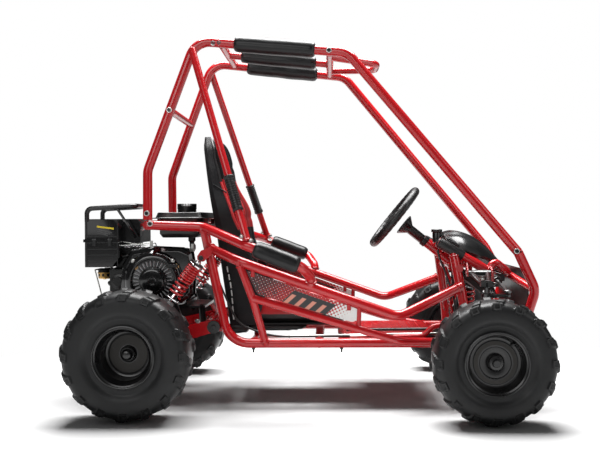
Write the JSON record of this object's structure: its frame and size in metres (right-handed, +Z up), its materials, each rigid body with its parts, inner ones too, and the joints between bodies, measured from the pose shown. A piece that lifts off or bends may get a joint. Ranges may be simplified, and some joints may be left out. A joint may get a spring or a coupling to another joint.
{
  "type": "off road go kart",
  "caption": "Off road go kart with a tubular cage, bucket seat, rear engine on a swing arm, chain driven axle and wishbone front arms.",
  "frame": {"origin": "on the ground, under the middle of the kart's bounding box", "axes": "+X forward, +Y to the driver's left, +Z up"},
  "size_m": [1.3644, 1.031, 1.0994],
  "materials": {
    "red_paint": "gloss red powder coat",
    "red_steel": "gloss red spring paint",
    "black_paint": "satin black paint",
    "black_plastic": "moulded black",
    "gloss_black": "gloss black",
    "pad_fabric": "black padded sleeve",
    "seat_fabric": "black with red bolsters",
    "panel": "red, black and white decal",
    "tyre": "matt black rubber",
    "engine_alloy": "black painted casting",
    "bare_steel": "zinc plated",
    "chrome": "bright"
  },
  "bodies": {
    "chassis": {"main_frame": "red_paint", "front_frame": "red_paint", "right_hoop": "red_paint", "left_hoop": "red_paint", "roof_frame": "red_paint", "right_brace": "red_paint", "left_brace": "red_paint", "right_roof_pad": "pad_fabric", "left_roof_pad": "pad_fabric", "middle_roof_pad": "pad_fabric", "right_arm_pad": "pad_fabric", "left_arm_pad": "pad_fabric", "right_side_panel": "panel", "left_side_panel": "panel", "seat_shell": "black_plastic", "seat_back_cushion": "seat_fabric", "seat_base_cushion": "seat_fabric", "rack_housing": "black_paint", "fuel_tank": "black_paint", "hood": "gloss_black", "nose_panel": "black_plastic", "right_front_shock": "red_steel", "left_front_shock": "red_steel"},
    "swing_arm": {"swing_arm": "red_paint", "engine_block": "engine_alloy", "recoil_shroud": "black_paint", "air_box": "black_plastic", "drive_chain": "bare_steel"},
    "rear_axle": {"rear_axle": "bare_steel", "right_rear_rim": "black_paint", "left_rear_rim": "black_paint", "right_rear_tyre": "tyre", "left_rear_tyre": "tyre"},
    "steering_column": {"steering_wheel": "black_plastic", "steering_shaft": "black_paint"},
    "steering_rack": {"steering_rack": "bare_steel"},
    "brake_pedal": {"brake_pedal": "red_paint"},
    "throttle_pedal": {"throttle_pedal": "red_paint"},
    "fuel_cap": {"fuel_cap": "black_plastic"},
    "pull_handle": {"pull_handle": "black_plastic"},
    "right_shock_body": {"right_rear_shock_body": "black_paint", "right_rear_spring": "red_steel"},
    "right_shock_rod": {"right_rear_shock_rod": "chrome"},
    "right_lower_arm": {"right_lower_arm": "black_paint"},
    "right_upper_arm": {"right_upper_arm": "black_paint"},
    "right_kingpin": {"right_kingpin": "bare_steel"},
    "right_knuckle": {"right_knuckle": "black_paint"},
    "right_front_wheel": {"right_front_rim": "black_paint", "right_front_tyre": "tyre"},
    "right_tie_rod": {"right_tie_rod": "chrome"},
    "left_shock_body": {"left_rear_shock_body": "black_paint", "left_rear_spring": "red_steel"},
    "left_shock_rod": {"left_rear_shock_rod": "chrome"},
    "left_lower_arm": {"left_lower_arm": "black_paint"},
    "left_upper_arm": {"left_upper_arm": "black_paint"},
    "left_kingpin": {"left_kingpin": "bare_steel"},
    "left_knuckle": {"left_knuckle": "black_paint"},
    "left_front_wheel": {"left_front_rim": "black_paint", "left_front_tyre": "tyre"},
    "left_tie_rod": {"left_tie_rod": "chrome"}
  },
  "joints": [
    {"name": "swing_pivot", "type": "hinge", "parent": "chassis", "child": "swing_arm", "pos_m": [-0.27021, 0, 0.23842], "axis": [0, 1, 0], "range_deg": [0, 5], "stiffness_Nm_per_rad": 1500, "springref_deg": -3.44},
    {"name": "axle_spin", "type": "hinge", "parent": "swing_arm", "child": "rear_axle", "pos_m": [-0.48821, 0, 0.18342], "axis": [0, 1, 0], "continuous": true},
    {"name": "steering_turn", "type": "hinge", "parent": "chassis", "child": "steering_column", "pos_m": [0.30879, 0, 0.53742], "axis": [0.7771, 0, -0.6293], "range_deg": [-105, 105]},
    {"name": "rack_slide", "type": "slide", "parent": "chassis", "child": "steering_rack", "axis": [0, 1, 0], "range_m": [-0.0205, 0.0205]},
    {"name": "brake_push", "type": "hinge", "parent": "chassis", "child": "brake_pedal", "pos_m": [0.45379, 0.092, 0.40742], "axis": [0, -1, 0], "range_deg": [0, 18], "stiffness_Nm_per_rad": 3, "springref_deg": -8.59},
    {"name": "throttle_push", "type": "hinge", "parent": "chassis", "child": "throttle_pedal", "pos_m": [0.45379, -0.092, 0.40742], "axis": [0, -1, 0], "range_deg": [0, 18], "stiffness_Nm_per_rad": 3, "springref_deg": -8.59},
    {"name": "cap_turn", "type": "hinge", "parent": "chassis", "child": "fuel_cap", "pos_m": [-0.38421, 0, 0.58942], "axis": [0, 0, 1], "range_deg": [0, 90]},
    {"name": "starter_pull", "type": "slide", "parent": "swing_arm", "child": "pull_handle", "axis": [0, -1, 0], "range_m": [0, 0.06], "stiffness_N_per_m": 30, "springref_m": -0.02},
    {"name": "right_shock_turn", "type": "hinge", "parent": "chassis", "child": "right_shock_body", "pos_m": [-0.30221, -0.255, 0.44342], "axis": [0, 1, 0], "range_deg": [0, 0.5]},
    {"name": "right_shock_slide", "type": "slide", "parent": "right_shock_body", "child": "right_shock_rod", "axis": [0.599, 0, 0.8007], "range_m": [0, 0.0135], "deforming": ["right_rear_spring"]},
    {"name": "right_lower_swing", "type": "hinge", "parent": "chassis", "child": "right_lower_arm", "pos_m": [0.51179, -0.15, 0.15942], "axis": [-1, 0, 0], "range_deg": [0, 6], "stiffness_Nm_per_rad": 700, "springref_deg": -5.16, "deforming": ["right_front_shock"]},
    {"name": "right_upper_swing", "type": "hinge", "parent": "chassis", "child": "right_upper_arm", "pos_m": [0.51179, -0.23, 0.39342], "axis": [-1, 0, 0], "range_deg": [0, 10.5]},
    {"name": "right_kingpin_tilt", "type": "hinge", "parent": "right_lower_arm", "child": "right_kingpin", "pos_m": [0.51179, -0.345, 0.14742], "axis": [-1, 0, 0], "range_deg": [-6.2, 0]},
    {"name": "right_knuckle_turn", "type": "hinge", "parent": "right_kingpin", "child": "right_knuckle", "pos_m": [0.51179, -0.345, 0.19942], "axis": [0, 0, 1], "range_deg": [-20.5, 20.5]},
    {"name": "right_wheel_spin", "type": "hinge", "parent": "right_knuckle", "child": "right_front_wheel", "pos_m": [0.51179, -0.451, 0.17042], "axis": [0, 1, 0], "continuous": true},
    {"name": "right_tie_rod_swing", "type": "hinge", "parent": "steering_rack", "child": "right_tie_rod", "pos_m": [0.57179, -0.196, 0.36542], "axis": [-1, 0, 0], "range_deg": [0, 8]},
    {"name": "left_shock_turn", "type": "hinge", "parent": "chassis", "child": "left_shock_body", "pos_m": [-0.30221, 0.255, 0.44342], "axis": [0, 1, 0], "range_deg": [0, 0.5]},
    {"name": "left_shock_slide", "type": "slide", "parent": "left_shock_body", "child": "left_shock_rod", "axis": [0.599, 0, 0.8007], "range_m": [0, 0.0135], "deforming": ["left_rear_spring"]},
    {"name": "left_lower_swing", "type": "hinge", "parent": "chassis", "child": "left_lower_arm", "pos_m": [0.51179, 0.15, 0.15942], "axis": [1, 0, 0], "range_deg": [0, 6], "stiffness_Nm_per_rad": 700, "springref_deg": -5.16, "deforming": ["left_front_shock"]},
    {"name": "left_upper_swing", "type": "hinge", "parent": "chassis", "child": "left_upper_arm", "pos_m": [0.51179, 0.23, 0.39342], "axis": [1, 0, 0], "range_deg": [0, 10.5]},
    {"name": "left_kingpin_tilt", "type": "hinge", "parent": "left_lower_arm", "child": "left_kingpin", "pos_m": [0.51179, 0.345, 0.14742], "axis": [1, 0, 0], "range_deg": [-6.2, 0]},
    {"name": "left_knuckle_turn", "type": "hinge", "parent": "left_kingpin", "child": "left_knuckle", "pos_m": [0.51179, 0.345, 0.19942], "axis": [0, 0, 1], "range_deg": [-20.5, 20.5]},
    {"name": "left_wheel_spin", "type": "hinge", "parent": "left_knuckle", "child": "left_front_wheel", "pos_m": [0.51179, 0.451, 0.17042], "axis": [0, 1, 0], "continuous": true},
    {"name": "left_tie_rod_swing", "type": "hinge", "parent": "steering_rack", "child": "left_tie_rod", "pos_m": [0.57179, 0.196, 0.36542], "axis": [1, 0, 0], "range_deg": [0, 8]}
  ],
  "couplings": [
    {"joint": "rack_slide", "follows": "steering_turn", "m_per_rad": -0.010825},
    {"joint": "right_shock_turn", "follows": "swing_pivot", "ratio": 0.0805},
    {"joint": "right_shock_slide", "follows": "swing_pivot", "m_per_rad": 0.149},
    {"joint": "right_upper_swing", "follows": "right_lower_swing", "ratio": 1.6772},
    {"joint": "right_kingpin_tilt", "follows": "right_lower_swing", "ratio": -1},
    {"joint": "right_tie_rod_swing", "follows": "right_lower_swing", "ratio": 1.2623},
    {"joint": "right_knuckle_turn", "follows": "steering_turn", "ratio": -0.19048},
    {"joint": "left_shock_turn", "follows": "swing_pivot", "ratio": 0.0805},
    {"joint": "left_shock_slide", "follows": "swing_pivot", "m_per_rad": 0.149},
    {"joint": "left_upper_swing", "follows": "left_lower_swing", "ratio": 1.6772},
    {"joint": "left_kingpin_tilt", "follows": "left_lower_swing", "ratio": -1},
    {"joint": "left_tie_rod_swing", "follows": "left_lower_swing", "ratio": 1.2623},
    {"joint": "left_knuckle_turn", "follows": "steering_turn", "ratio": -0.19048}
  ]
}
